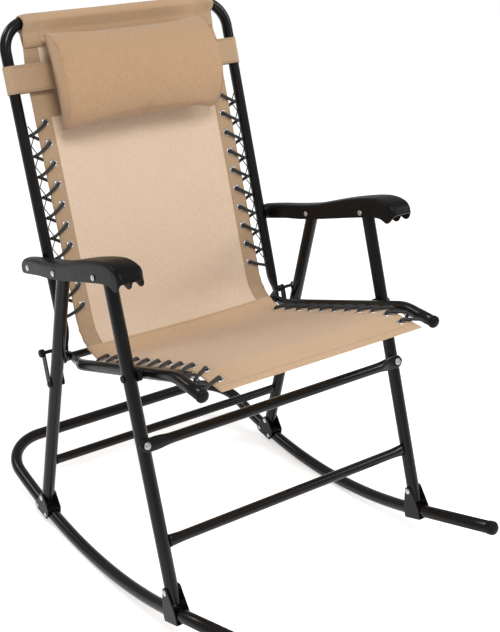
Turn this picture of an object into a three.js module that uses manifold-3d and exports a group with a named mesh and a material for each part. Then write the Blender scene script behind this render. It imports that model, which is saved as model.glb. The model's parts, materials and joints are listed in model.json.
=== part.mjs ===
// A folding camp rocking chair with a laced sling seat, life size, in millimetres.
// X runs across the chair, Y from its front to its back, Z up. Each group below is the
// frame of one rigid body: its Z runs along the leg or tube and its Y to the rear.
import Module from "manifold-3d";
import * as THREE from "three";
import { mergeVertices } from "three/addons/utils/BufferGeometryUtils.js";

const wasm = await Module();
wasm.setup();
const rad = THREE.MathUtils.degToRad;

// Widths: planes of the tubes, measured from the middle of the chair.
const SIDE_X = 290;
const BACK_X = 253;
const SEAT_X = 257;
const GROMMET_X = 203;
const SLING_X = 222;

// Rockers: one arc, seen from the side, with a straight front and a rear cross tube.
const ROCKER = { radius: 12.5, inner: 11, arc: 1100, y: 300, z: 921.4 };
const ARC_STEP = 2.05;
const ARC_FRONT_STEPS = 8.5;
const ARC_REAR_STEPS = 7.5;
const ROCKER_FRONT = 216;
const ROCKER_CORNER = 90;
const ROCKER_TAIL = 1;

// Legs: leans are from the vertical, heights are along the leg.
const LEG = { radius: 12.5, inner: 11.3 };
const LEG_LEAN = 17.81;
const REAR_LEAN = 14.55;
const SADDLE = { angle: -18.02, height: 43.4 };
const BRACKET = { angle: 8.65, height: 31.4 };
const FRONT_PINS = { saddle: -87.6, brace: 182, seat: 303.4, arm: 486.3 };
const REAR_PINS = { link: 306, arm: 568.2, crossbar: 97 };
const BAR_RADIUS = 10;
const BRACE_Y = -14.5;

// Seat, back and armrests.
const HINGE = { y: 396.2, z: 207.1 };
const SEAT_SLOPE = 18.16;
const ARM_SLOPE = 15.08;
const ARM_LENGTH = 314.2;
const ARM_REAR_PIN = { y: 175.9, z: -2.3 };
const BACK = { radius: 11, inner: 9.8, top: 641, corner: 55, armPin: 182.9 };
const SEAT = { drop: -16.9, bend: -418.9, bendRadius: 100, bendAngle: 21, front: 77, hem: 84 };
const SEAT_PIVOT = -313.8;
const LINK = { lean: 15.7, length: 63.2 };
const STUD_HEIGHT = 15.7;
const HIP = { radius: 80, y: -80.5, z: 63.1 };
const FABRIC = 1.2;

// Lacing: one grommet every pitch, a wire apex half a pitch further on.
const LACE = { radius: 2.75, pitch: 40, lift: 5.2, reach: 238.6, turn: 235 };
const BACK_GROMMETS = { first: 88, count: 10 };
const SEAT_GROMMETS = { first: 67, count: 11 };
const WIRE = { radius: 1.5, apex: 231.5, gap: 0.4 };
// The headrest pillow's place on the back, and the strap that holds it, looped round the tubes.
const PILLOW = { x: 180, shift: -10, back: -14.6, depth: 79, middle: 519, halfHeight: 101 };
const STRAP = { bottom: 508, width: 53, inner: 11.7, outer: 13.4 };

const BLACK_TUBE = { color: 0x1d1d20, roughness: 0.36, metalness: 0.55 };
const BLACK_STEEL = { color: 0x17171a, roughness: 0.42, metalness: 0.7 };
const BLACK_PLASTIC = { color: 0x141416, roughness: 0.5, metalness: 0 };
const ARM_PLASTIC = { color: 0x2c2c2f, roughness: 0.55, metalness: 0 };
const BOLT_STEEL = { color: 0xb4b6b8, roughness: 0.3, metalness: 0.95 };
const LACE_BLACK = { color: 0x101012, roughness: 0.85, metalness: 0 };
const TAN_FABRIC = { color: 0xc8a67a, roughness: 0.9, metalness: 0 };
const MESH_FABRIC = { color: 0xdcbf9f, roughness: 0.85, metalness: 0 };

const chair = new THREE.Group();

// A polyline through given points, so that an extrusion has a ring at each of them.
class PointPath extends THREE.Curve {
  constructor(points) {
    super();
    this.points = points;
  }

  getPoint(t, target = new THREE.Vector3()) {
    const place = t * (this.points.length - 1);
    const index = Math.min(Math.floor(place), this.points.length - 2);
    return target.lerpVectors(this.points[index], this.points[index + 1], place - index);
  }

  getUtoTmapping(u) {
    return u;
  }
}

function frameAt(y, z, tilt) {
  const group = new THREE.Group();
  group.position.set(0, y, z);
  group.rotation.x = rad(tilt);
  chair.add(group);
  return group;
}

function rockerFrame(angle) {
  const y = ROCKER.y + ROCKER.arc * Math.sin(rad(angle));
  const z = ROCKER.z - ROCKER.arc * Math.cos(rad(angle));
  return frameAt(y, z, angle);
}

function circle(radius, sides, start = 0) {
  const turn = (2 * Math.PI) / sides;
  return Array.from({ length: sides }, (_, k) => {
    return new THREE.Vector2(
      radius * Math.cos(start + k * turn),
      radius * Math.sin(start + k * turn),
    );
  });
}

function sweep(points, shape) {
  const path = new PointPath(points.map(([x, y, z]) => new THREE.Vector3(x, y, z)));
  return new THREE.ExtrudeGeometry(shape, {
    steps: points.length - 1, bevelEnabled: false, extrudePath: path,
  });
}

function tube(points, outer, inner, sides = 10) {
  const ring = new THREE.Shape(circle(outer, sides));
  ring.holes.push(new THREE.Path(circle(inner, 6).reverse()));
  return sweep(points, ring);
}

function cord(points, radius, sides = 5) {
  return sweep(points, new THREE.Shape(circle(radius, sides)));
}

// A side outline of [y, z] points, extruded across the chair from x0 to x1.
function plate(outline, x0, x1) {
  const shape = new THREE.Shape(outline.map(([y, z]) => new THREE.Vector2(y, z)));
  const geometry = new THREE.ExtrudeGeometry(shape, {
    depth: x1 - x0, steps: 1, bevelEnabled: false,
  });
  geometry.applyMatrix4(new THREE.Matrix4().set(0, 0, 1, x0, 1, 0, 0, 0, 0, 1, 0, 0, 0, 0, 0, 1));
  return geometry;
}

// A turned piece: the profile is [radius, x] points along an axis across the chair.
function turned(profile, y = 0, z = 0, sides = 10) {
  const points = profile.map(([radius, x]) => new THREE.Vector2(radius, x));
  const geometry = new THREE.LatheGeometry(points, sides);
  return geometry.rotateZ(-Math.PI / 2).translate(0, y, z);
}

function rod(radius, x0, x1, y = 0, z = 0, sides = 8) {
  return turned([[0, x0], [radius, x0], [radius, x1], [0, x1]], y, z, sides);
}

// A bolt or rivet across the chair: collars are [from, to, radius] along its shank.
function bolt(collars, shank, y = 0, z = 0) {
  const profile = [[0, collars[0][0]]];
  collars.forEach(([from, to, radius], index) => {
    if (index > 0) {
      profile.push([shank, from]);
    }
    profile.push([radius, from], [radius, to]);
    if (index < collars.length - 1) {
      profile.push([shank, to]);
    }
  });
  profile.push([0, collars.at(-1)[1]]);
  return turned(profile, y, z);
}

function arc(cy, cz, radius, from, to, steps) {
  return Array.from({ length: steps + 1 }, (_, k) => {
    const angle = rad(from + ((to - from) * k) / steps);
    return [cy + radius * Math.cos(angle), cz + radius * Math.sin(angle)];
  });
}

function toSolid(geometry) {
  const bare = geometry.clone();
  bare.deleteAttribute("normal");
  bare.deleteAttribute("uv");
  const merged = mergeVertices(bare, 1e-4);
  const mesh = new wasm.Mesh({
    numProp: 3,
    vertProperties: Float32Array.from(merged.attributes.position.array),
    triVerts: Uint32Array.from(merged.index.array),
  });
  return new wasm.Manifold(mesh);
}

function toGeometry(solid) {
  const mesh = solid.getMesh();
  const geometry = new THREE.BufferGeometry();
  const positions = new THREE.BufferAttribute(Float32Array.from(mesh.vertProperties), 3);
  geometry.setAttribute("position", positions);
  geometry.setIndex(Array.from(mesh.triVerts));
  return geometry;
}

function join(...geometries) {
  return toGeometry(geometries.map(toSolid).reduce((all, next) => all.add(next)));
}

function cut(body, ...tools) {
  return toGeometry(tools.map(toSolid).reduce((rest, next) => rest.subtract(next), toSolid(body)));
}

function common(first, second) {
  return toGeometry(toSolid(first).intersect(toSolid(second)));
}

function mirrored(geometry) {
  const copy = geometry.index ? geometry.toNonIndexed() : geometry.clone();
  const positions = copy.attributes.position;
  const corner = new THREE.Vector3();
  const result = positions.clone();
  for (let index = 0; index < positions.count; index += 1) {
    const swap = [0, 1, -1][index % 3];
    corner.fromBufferAttribute(positions, index);
    result.setXYZ(index + swap, -corner.x, corner.y, corner.z);
  }
  copy.setAttribute("position", result);
  return copy;
}

function addPiece(group, name, geometry, look) {
  geometry.computeVertexNormals();
  const piece = new THREE.Mesh(geometry, new THREE.MeshStandardMaterial(look));
  piece.name = name;
  group.add(piece);
}

// The geometry is the piece on the sitter's left, at positive X.
function addPair(group, name, geometry, look) {
  addPiece(group, `${name}_left`, geometry, look);
  addPiece(group, `${name}_right`, mirrored(geometry), look);
}

function bothSides(points) {
  const other = points.map(([x, y, z]) => [-x, y, z]).reverse();
  return [...points, ...other];
}

// ---- rocker base ----
function rockerSide() {
  const angles = Array.from({ length: ARC_FRONT_STEPS + ARC_REAR_STEPS + 1 }, (_, k) => {
    return rad((k - ARC_FRONT_STEPS) * ARC_STEP);
  });
  const onArc = angles.map((angle) => [
    SIDE_X,
    ROCKER.y + ROCKER.arc * Math.sin(angle),
    ROCKER.z - ROCKER.arc * Math.cos(angle),
  ]);
  const first = angles[0];
  const last = angles.at(-1);
  const front = [
    SIDE_X,
    onArc[0][1] - ROCKER_FRONT * Math.cos(first),
    onArc[0][2] - ROCKER_FRONT * Math.sin(first),
  ];
  const [, endY, endZ] = onArc.at(-1);
  const corner = [0, 18, 36, 54, 72, 90].map((turn) => {
    const along = ROCKER_TAIL + ROCKER_CORNER * Math.sin(rad(turn));
    return [
      SIDE_X - ROCKER_CORNER * (1 - Math.cos(rad(turn))),
      endY + along * Math.cos(last),
      endZ + along * Math.sin(last),
    ];
  });
  return [front, ...onArc, ...corner];
}

function buildBase() {
  const base = frameAt(0, 0, 0);
  const side = rockerSide();
  addPiece(base, "rocker_base", tube(bothSides(side), ROCKER.radius, ROCKER.inner), BLACK_TUBE);

  const [, y, z] = side[0];
  const tip = frameAt(y, z, -ARC_FRONT_STEPS * ARC_STEP);
  const profile = [[0, 22], [9.2, 22], [9.2, -0.4], [13.6, -0.4], [13.6, -11], [11, -15.5], [0, -17]];
  const cap = new THREE.LatheGeometry(
    profile.reverse().map(([radius, along]) => new THREE.Vector2(radius, along)), 12,
  );
  addPair(tip, "rocker_cap", cap.translate(SIDE_X, 0, 0), BLACK_PLASTIC);
}

// Two ears astride the rocker tube, joined by a strap across it.
function clampPlates(outline, strap, pinHeight) {
  const ears = [[-15.4, -13.2], [13.2, 15.4]].map(([x0, x1]) => {
    return cut(
      plate(outline, SIDE_X + x0, SIDE_X + x1),
      rod(3.5, SIDE_X + x0 - 1, SIDE_X + x1 + 1, 0, pinHeight, 10),
    );
  });
  return join(...ears, plate(strap, SIDE_X - 14, SIDE_X + 14));
}

function pivotRivet(height) {
  const collars = [
    [SIDE_X - 18.2, SIDE_X - 15.7, 6], [SIDE_X + 15.7, SIDE_X + 18.2, 6],
  ];
  return bolt(collars, 3, 0, height);
}

function box2(y0, z0, y1, z1) {
  return [[y0, z0], [y1, z0], [y1, z1], [y0, z1]];
}

function buildSaddles() {
  const saddle = rockerFrame(SADDLE.angle);
  const ear = arc(0, SADDLE.height, 9, 10, 170, 6);
  const outline = [[-22, -14.6], [22, -14.6], [22, 6], ...ear, [-22, 6]];
  const strap = box2(-22, -14.6, 22, -13);
  addPair(saddle, "front_saddle", clampPlates(outline, strap, SADDLE.height), BLACK_STEEL);
  addPair(saddle, "saddle_rivet", pivotRivet(SADDLE.height), BLACK_STEEL);
}

function buildRearBrackets() {
  const bracket = rockerFrame(BRACKET.angle);
  const low = arc(18, 0, 10, -90, 0, 3);
  const lowFront = arc(-18, 0, 10, 180, 270, 3);
  const ear = arc(0, BRACKET.height, 10, 20, 150, 6);
  const outline = [...lowFront, ...low, ...ear, [-28, 15.6]];
  const strap = box2(-28, 13.2, -14, 15.6);
  addPair(bracket, "rear_bracket", clampPlates(outline, strap, BRACKET.height), BLACK_STEEL);
  addPair(bracket, "rear_leg_rivet", pivotRivet(BRACKET.height), BLACK_STEEL);
}

// ---- legs ----
function crossTube(halfLength, radius, y, z) {
  return tube([[-halfLength, y, z], [halfLength, y, z]], radius, radius - 1.2);
}

function buildFrontLegs() {
  const legs = frameAt(0, 0, -LEG_LEAN);
  const { saddle, brace, seat, arm } = FRONT_PINS;
  const blank = tube([[SIDE_X, 0, saddle - 12], [SIDE_X, 0, arm + 13]], LEG.radius, LEG.inner);
  const bores = [saddle, seat, arm].map((z) => rod(3.6, SIDE_X - 15, SIDE_X + 15, 0, z));
  const braceBore = rod(3.6, -15, 15).rotateZ(Math.PI / 2).translate(SIDE_X, 0, brace);
  addPair(legs, "front_leg", cut(blank, ...bores, braceBore), BLACK_TUBE);
  addPiece(legs, "front_lower_bar", crossTube(277.2, BAR_RADIUS, 0, 0), BLACK_TUBE);
  addPiece(legs, "front_upper_brace", bracePiece(brace), BLACK_TUBE);

  const boltProfile = [[0, -20], [7, -20], [7, -16.4], [3, -16.4], [3, 9], [0, 9]];
  const braceBolt = new THREE.LatheGeometry(
    boltProfile.map(([radius, along]) => new THREE.Vector2(radius, along)), 12,
  );
  addPair(legs, "brace_bolt", braceBolt.translate(SIDE_X, 0, brace), BOLT_STEEL);

  const collars = [[244.4, 245.6, 4.5], [303.2, 306.2, 6.5]];
  addPair(legs, "seat_pivot_bolt", bolt(collars, 3, 0, seat), BLACK_STEEL);
  const ring = [[3.8, 268.4], [11, 268.4], [11, 277.1], [3.8, 277.1], [3.8, 268.4]];
  addPair(legs, "seat_spacer", turned(ring, 0, seat), BLACK_PLASTIC);
}

// The upper brace: a tube whose pressed ends are flat, round paddles.
function bracePiece(height) {
  const paddles = [-1, 1].map((side) => {
    const end = arc(side * SIDE_X, height, 13, 90, 90 - side * 180, 8);
    const outline = [...end, [side * 246, height - 13], [side * 246, height + 13]];
    const shape = new THREE.Shape(outline.map(([x, z]) => new THREE.Vector2(x, z)));
    const flat = new THREE.ExtrudeGeometry(shape, { depth: 3, bevelEnabled: false });
    flat.rotateX(Math.PI / 2).translate(0, BRACE_Y + 1.5, 0);
    const bore = rod(3.6, -15, 15).rotateZ(Math.PI / 2).translate(side * SIDE_X, BRACE_Y, height);
    return cut(flat, bore);
  });
  return join(crossTube(256, BAR_RADIUS, BRACE_Y, height), ...paddles);
}

function rearPivot() {
  const angle = rad(BRACKET.angle);
  const reach = ROCKER.arc - BRACKET.height;
  return [ROCKER.y + reach * Math.sin(angle), ROCKER.z - reach * Math.cos(angle)];
}

function buildRearLegs() {
  const legs = frameAt(...rearPivot(), REAR_LEAN);
  const blank = tube([[SIDE_X, 0, -9], [SIDE_X, 0, REAR_PINS.arm + 6]], LEG.radius, LEG.inner);
  const bores = [0, REAR_PINS.link].map((z) => rod(3.6, SIDE_X - 15, SIDE_X + 15, 0, z));
  addPair(legs, "rear_leg", cut(blank, ...bores), BLACK_TUBE);
  addPiece(legs, "rear_crossbar", crossTube(277.2, 9.5, 0, REAR_PINS.crossbar), BLACK_TUBE);
}

function buildLinks() {
  const [y, z] = rearPivot();
  const lean = rad(REAR_LEAN);
  const pinY = y - REAR_PINS.link * Math.sin(lean);
  const pinZ = z + REAR_PINS.link * Math.cos(lean);
  const links = frameAt(pinY, pinZ, -LINK.lean);
  const outline = [...arc(0, 0, 8, 180, 360, 6), ...arc(0, LINK.length, 8, 0, 180, 6)];
  const pieces = [
    plate(outline, 274.4, 276.9),
    plate(outline, 303.1, 305.6),
    bolt([[274.4, 276, 5], [303.5, 308, 6]], 3),
    bolt([[274.4, 276, 5], [304.5, 313, 8]], 3.5, 0, LINK.length),
  ];
  addPair(links, "yoke_link", join(...pieces), BLACK_STEEL);
}

// ---- armrests ----
function buildArmrests() {
  const lean = rad(LEG_LEAN);
  const arms = frameAt(FRONT_PINS.arm * Math.sin(lean), FRONT_PINS.arm * Math.cos(lean), -ARM_SLOPE);
  const top = [
    [350, 9], [338, 17.7], [300, 17.8], [240, 16], [170, 15.6], [110, 20], [45, 26.5], [0, 28.5],
    [-45, 28], [-72, 22], [-90, 11], [-97, -3],
  ];
  const under = [
    [-94, -16], [-84, -22.5], [-68, -19.3], [-46, -12.5], [-20, -9], [45, -10.5], [120, -13],
    [200, -13.8], [250, -11.5], [330, -12], [350, -10],
  ];
  const wall = 2.4;
  const roof = top.slice(1, -1).map(([y, z]) => [Math.min(y, 346), z - wall - 0.4]);
  const hollow = [[346, -60], [346, 12], ...roof, [-92, -3], [-90, -60]];
  const outside = [
    [271, -100], [318, -100], [323, -88], [320, 0], [312.5, 180], [306, 250], [299.5, 314],
    [296.5, 352], [271, 352],
  ];
  const inside = [
    [273.4, -94], [316, -94], [320.4, -86], [317.4, 0], [309.9, 180], [303.4, 250],
    [296.9, 314], [294, 347], [273.4, 347],
  ];
  const shell = common(plate(top.concat(under), 265, 330), plan(outside));
  const core = common(plate(hollow, 265, 330), plan(inside));
  const pins = [[0, 0], [ARM_LENGTH, 0]].map(([y, z]) => rod(3.6, 266, 330, y, z));
  const stubBore = rod(3.6, 305, 330, ARM_REAR_PIN.y, ARM_REAR_PIN.z);
  addPair(arms, "armrest", cut(shell, core, ...pins, stubBore), ARM_PLASTIC);

  addPair(arms, "armrest_front_screw", bolt([[268.4, 270.7, 5], [321, 323.2, 5.5]], 3), BOLT_STEEL);
  const stub = bolt([[304, 308.5, 3], [313.3, 315.5, 5.5]], 2.9, ARM_REAR_PIN.y, ARM_REAR_PIN.z);
  addPair(arms, "armrest_mid_screw", stub, BOLT_STEEL);
  const collars = [[243, 244, 3.3], [264.4, 270.6, 8], [300.2, 302.6, 6]];
  addPair(arms, "back_pivot_bolt", bolt(collars, 3, ARM_LENGTH), BOLT_STEEL);
}

// An outline of [x, y] points seen from above, as a tall prism.
function plan(outline) {
  const shape = new THREE.Shape(outline.map(([x, y]) => new THREE.Vector2(x, y)));
  return new THREE.ExtrudeGeometry(shape, { depth: 160, bevelEnabled: false }).translate(0, 0, -80);
}

// ---- back ----
// Lace and wire run along a list of frames: each gives a place and its outward normal.
function laceRoute(frames) {
  const { lift, reach, turn } = LACE;
  return frames.flatMap(({ at, between }, index) => {
    const through = [at(GROMMET_X, -lift), at(GROMMET_X, lift)];
    if (index === frames.length - 1) {
      return through;
    }
    return [...through, between(turn, lift + 0.3), between(reach, 0), between(turn, -lift - 0.3)];
  });
}

function wireRoute(frames, tubeX) {
  const base = tubeX - BACK.radius - WIRE.radius - WIRE.gap;
  return frames.slice(0, -1).flatMap(({ at, between }) => [at(base, 0), between(WIRE.apex, 0)])
    .concat([frames.at(-1).at(base, 0)]);
}

function framesAlong(count, pointAt) {
  return Array.from({ length: count }, (_, k) => ({
    at: pointAt(k),
    between: pointAt(k + 0.5),
  }));
}

function backFrames() {
  const { first, count } = BACK_GROMMETS;
  return framesAlong(count, (k) => (x, lift) => [x, lift, first + LACE.pitch * k]);
}

function buildBack() {
  const back = frameAt(HINGE.y, HINGE.z, -LEG_LEAN);
  const rim = arc(BACK_X - BACK.corner, BACK.top - BACK.corner, BACK.corner, 0, 90, 6)
    .map(([x, z]) => [x, 0, z]);
  const route = bothSides([[BACK_X, 0, 26], ...rim]);
  const armBores = [-1, 1].map((side) => rod(3.6, side * BACK_X - 15, side * BACK_X + 15, 0, BACK.armPin));
  const tang = backTang();
  const frame = cut(join(tube(route, BACK.radius, BACK.inner), tang, mirrored(tang)), ...armBores);
  addPiece(back, "back_frame", frame, BLACK_TUBE);
  addPiece(back, "back_cross_tube", crossTube(262, 8, 19, -8), BLACK_TUBE);
  addPair(back, "link_stud", rod(7, 258.2, 272, 0, STUD_HEIGHT, 12), BLACK_STEEL);

  const frames = backFrames();
  addPair(back, "back_lace", cord(laceRoute(frames), LACE.radius), LACE_BLACK);
  addPair(back, "back_wire", cord(wireRoute(frames, BACK_X), WIRE.radius, 4), BLACK_STEEL);
  addPiece(back, "back_sling", backSling(), MESH_FABRIC);
}

// The flattened lower end of a back tube, with a lobe that holds the cross tube.
function backTang() {
  const lobe = arc(19, -8, 11, -100, 40, 6);
  const outline = [...arc(0, 0, 9, 180, 270, 4), ...lobe, [9, 22], [9, 60], [-9, 60]];
  const blank = plate(outline, 254.1, 257.8);
  return cut(blank, rod(3.6, 250, 262, 0, 0), rod(8.4, 250, 262, 19, -8, 12));
}

function grommetBore(y, z, tilt) {
  const bore = rod(4.2, -8, 8, 0, 0, 6).rotateY(Math.PI / 2).rotateX(rad(tilt));
  return [-1, 1].map((side) => bore.clone().translate(side * GROMMET_X, y, z));
}

function backSling() {
  const low = HIP.z + 1.5;
  const panel = plate(box2(-FABRIC, low, FABRIC, 612), -SLING_X, SLING_X);
  const neck = plate(box2(-FABRIC, 600, FABRIC, BACK.top - 12.4), -196, 196);
  const sleeve = cut(
    rod(13.6, -196, 196, 0, BACK.top, 14),
    rod(11.9, -200, 200, 0, BACK.top, 14),
  );
  const bores = backFrames().flatMap(({ at }) => {
    const [, y, z] = at(0, 0);
    return grommetBore(y, z, 90);
  });
  return cut(join(panel, neck, sleeve), ...bores);
}

// ---- seat ----
// The side line of the seat: straight, then bent down at the front, as [y, z, slope].
function seatBend() {
  const half = SEAT.bendRadius * Math.tan(rad(SEAT.bendAngle / 2));
  return { start: -SEAT.bend - half, length: SEAT.bendRadius * rad(SEAT.bendAngle) };
}

function seatPoint(distance) {
  const { start, length } = seatBend();
  if (distance <= start) {
    return [-distance, SEAT.drop, 0];
  }
  const turn = Math.min((distance - start) / SEAT.bendRadius, rad(SEAT.bendAngle));
  const rest = Math.max(distance - start - length, 0);
  return [
    -start - SEAT.bendRadius * Math.sin(turn) - rest * Math.cos(turn),
    SEAT.drop - SEAT.bendRadius * (1 - Math.cos(turn)) - rest * Math.sin(turn),
    THREE.MathUtils.radToDeg(turn),
  ];
}

function seatStations(from, to) {
  const { start, length } = seatBend();
  const bend = [0, 0.25, 0.5, 0.75, 1].map((part) => start + part * length);
  return [from, ...bend, to];
}

function seatFrames() {
  const { first, count } = SEAT_GROMMETS;
  return framesAlong(count, (k) => (x, lift) => {
    const [y, z, slope] = seatPoint(first + LACE.pitch * k);
    return [x, y - lift * Math.sin(rad(slope)), z + lift * Math.cos(rad(slope))];
  });
}

// A closed band of even thickness about a line of [y, z, slope] stations.
function band(stations, half) {
  const offset = ([y, z, slope], lift) => [
    y - lift * Math.sin(rad(slope)), z + lift * Math.cos(rad(slope)),
  ];
  const upper = stations.map((station) => offset(station, half));
  const lower = stations.map((station) => offset(station, -half)).reverse();
  return [...upper, ...lower];
}

function buildSeat() {
  const seat = frameAt(HINGE.y, HINGE.z, -SEAT_SLOPE);
  const frontEnd = -SEAT.bend + SEAT.front - 0.6;
  const line = seatStations(14, frontEnd).map(seatPoint);
  const rail = tube(line.map(([y, z]) => [SEAT_X, y, z]), BACK.radius, BACK.inner);
  const [endY, endZ, slope] = seatPoint(frontEnd);
  addPair(seat, "seat_tube", cut(join(rail, seatTang()), seatBore()), BLACK_TUBE);

  const profile = [[0, -12], [8.1, -12], [8.1, 0.4], [12, 0.4], [12, 5], [8, 9.5], [0, 11]];
  const plug = new THREE.LatheGeometry(
    profile.map(([radius, along]) => new THREE.Vector2(radius, along)), 12,
  );
  plug.rotateX(Math.PI + rad(slope)).translate(SEAT_X, endY, endZ);
  addPair(seat, "seat_plug", plug, BLACK_PLASTIC);
  const collars = [[246.8, 249.5, 6], [258.1, 260.4, 6]];
  addPair(seat, "hinge_rivet", bolt(collars, 3), BOLT_STEEL);

  const frames = seatFrames();
  addPair(seat, "seat_lace", cord(laceRoute(frames), LACE.radius), LACE_BLACK);
  addPair(seat, "seat_wire", cord(wireRoute(frames, SEAT_X), WIRE.radius, 4), BLACK_STEEL);
  addPiece(seat, "seat_sling", seatSling(), TAN_FABRIC);
  const hip = arc(HIP.y, HIP.z, HIP.radius, -89.4, 0, 8);
  const hipBand = hip.map(([y, z], k) => [y, z, (89.4 * k) / 8 + 0.6]);
  const hipPanel = plate(band(hipBand, FABRIC), -SLING_X, SLING_X);
  const hipBores = grommetBore(-SEAT_GROMMETS.first, SEAT.drop + 1.2, 0);
  addPiece(seat, "hip_sling", cut(hipPanel, ...hipBores), MESH_FABRIC);
}

function seatBore() {
  return rod(3.6, SEAT_X - 15, SEAT_X + 15, SEAT_PIVOT, SEAT.drop);
}

// The plate at the rear end of a seat tube that rises to the back's hinge pin.
function seatTang() {
  const eye = arc(0, 0, 9, -60, 150, 8);
  const outline = [...eye, [-40, -9], [-62, -11], [-62, -23], [-14, -23]];
  return cut(plate(outline, 249.9, 253.4), rod(3.6, 247, 256, 0, 0));
}

function seatSling() {
  const line = seatStations(81.2, -SEAT.bend + SEAT.hem).map(seatPoint);
  const panel = plate(band(line, FABRIC), -SLING_X, SLING_X);
  const { first, count } = SEAT_GROMMETS;
  const bores = Array.from({ length: count }, (_, k) => first + LACE.pitch * k)
    .filter((distance) => distance > 85)
    .flatMap((distance) => {
      const [y, z, slope] = seatPoint(distance);
      return grommetBore(y, z, slope);
    });
  return cut(panel, ...bores);
}

// ---- headrest ----
function buildHeadrest() {
  const headrest = frameAt(HINGE.y, HINGE.z, -LEG_LEAN);
  const rise = arc(0, 0, 1, 90, 270, 12);
  const outline = rise.map(([depth, height]) => [
    PILLOW.back + PILLOW.depth * depth, PILLOW.middle + PILLOW.halfHeight * height,
  ]);
  const pillow = plate(outline, PILLOW.shift - PILLOW.x, PILLOW.shift + PILLOW.x);
  addPiece(headrest, "headrest_pillow", pillow, TAN_FABRIC);

  const loop = (radius) => {
    const end = arc(BACK_X, 0, radius, -90, 90, 8);
    return [...end, ...end.map(([x, y]) => [-x, -y])].map(([x, y]) => new THREE.Vector2(x, y));
  };
  const shape = new THREE.Shape(loop(STRAP.outer));
  shape.holes.push(new THREE.Path(loop(STRAP.inner).reverse()));
  const strap = new THREE.ExtrudeGeometry(shape, { depth: STRAP.width, bevelEnabled: false });
  addPiece(headrest, "headrest_strap", strap.translate(0, 0, STRAP.bottom), TAN_FABRIC);
}

buildBase();
buildSaddles();
buildRearBrackets();
buildFrontLegs();
buildRearLegs();
buildLinks();
buildArmrests();
buildBack();
buildSeat();
buildHeadrest();

// Stand the chair on Z = 0 with the middle of its box over the origin.
const bounds = new THREE.Box3().setFromObject(chair, true);
const middle = bounds.getCenter(new THREE.Vector3());
chair.position.set(-middle.x, -middle.y, -bounds.min.z);
chair.updateMatrixWorld(true);

export default chair;
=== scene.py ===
"""The looks of a folding camp rocking chair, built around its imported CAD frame. Metres."""
import json
from math import copysign, cos, exp, pi, radians, sin, sqrt, tan

import bmesh
import bpy
import numpy as np
from mathutils import Matrix, Vector, noise


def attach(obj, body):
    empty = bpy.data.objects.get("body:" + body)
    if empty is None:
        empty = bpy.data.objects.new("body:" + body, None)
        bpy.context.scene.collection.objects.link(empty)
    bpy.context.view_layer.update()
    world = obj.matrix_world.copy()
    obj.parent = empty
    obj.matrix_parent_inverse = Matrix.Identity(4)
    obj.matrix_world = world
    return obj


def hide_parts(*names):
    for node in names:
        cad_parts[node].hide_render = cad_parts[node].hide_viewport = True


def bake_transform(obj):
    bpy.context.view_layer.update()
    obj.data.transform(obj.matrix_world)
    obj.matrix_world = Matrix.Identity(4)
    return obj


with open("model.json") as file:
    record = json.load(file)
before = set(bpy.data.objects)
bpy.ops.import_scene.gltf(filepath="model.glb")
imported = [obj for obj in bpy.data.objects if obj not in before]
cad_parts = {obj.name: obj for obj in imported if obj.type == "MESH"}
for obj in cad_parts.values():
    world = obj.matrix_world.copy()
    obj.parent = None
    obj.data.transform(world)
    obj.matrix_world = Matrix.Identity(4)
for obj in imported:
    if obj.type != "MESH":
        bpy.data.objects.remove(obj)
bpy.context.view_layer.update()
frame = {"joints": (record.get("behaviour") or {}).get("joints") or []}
ACROSS, FORWARD, UP = Vector((1, 0, 0)), Vector((0, -1, 0)), Vector((0, 0, 1))
PINS = {j["name"]: Vector(j["pos_m"]) for j in frame["joints"] if j["type"] == "hinge"}

# Planes of the tubes, from the middle of the chair, and the tube radii.
SIDE_X = 0.29
BACK_X = 0.253
SEAT_X = 0.257
LEG_R = 0.0125
FRAME_R = 0.011
GROMMET_X = 0.203
SLING_X = 0.222
BAND_X = 0.187
# Leans of the body frames, in degrees, and heights along the members.
LEG_LEAN = 17.81
REAR_LEAN = 14.55
SEAT_SLOPE = 18.16
ARM_SLOPE = 15.08
LINK_LEAN = 15.7
SADDLE_TILT, SADDLE_H = -18.02, 0.0434
BRACKET_TILT, BRACKET_H = 8.65, 0.0314
ARM_PIN_H, SEAT_PIN_H, BRACE_H, SADDLE_PIN_H = 0.4863, 0.3034, 0.182, -0.0876
REAR_LENGTH, REAR_BAR_H = 0.5682, 0.097
LINK_LENGTH = 0.0632
BACK_TOP, BACK_CORNER = 0.641, 0.055
ARM_LENGTH = 0.3142
SEAT_DROP, SEAT_BEND, SEAT_BEND_R, SEAT_BEND_A = -0.0169, -0.4189, 0.1, 21
SEAT_TIP = 0.4945
HIP_R, HIP_Y, HIP_Z = 0.08, -0.0805, 0.0631
# The rocker's arc, the angles of its ends, its straight front and its rear corner.
ROCKER_ARC, ROCKER_START, ROCKER_END = 1.1, -17.43, 15.375
ROCKER_FRONT, ROCKER_CORNER = 0.216, 0.09
# A quarter turn that stands a piece turned about X along Y instead.
QUARTER = Matrix.Rotation(pi / 2, 4, "Z")
# Half the length of a cross bar, and a round section a hair inside the CAD's frame tube.
BAR_END = 0.2772
FRAME_ROUND = (FRAME_R * 0.99, FRAME_R * 0.99)
# The grommets' pitch and the stitches' pitch.
PITCH = 0.04
STITCH = 0.0036


def local(origin, tilt, drop=0.0):
    """A body's own frame: Z along its member, Y to the rear, X across the chair."""
    turn = Matrix.Rotation(radians(tilt), 4, "X")
    return Matrix.Translation(origin) @ turn @ Matrix.Translation((0, 0, -drop))


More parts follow.
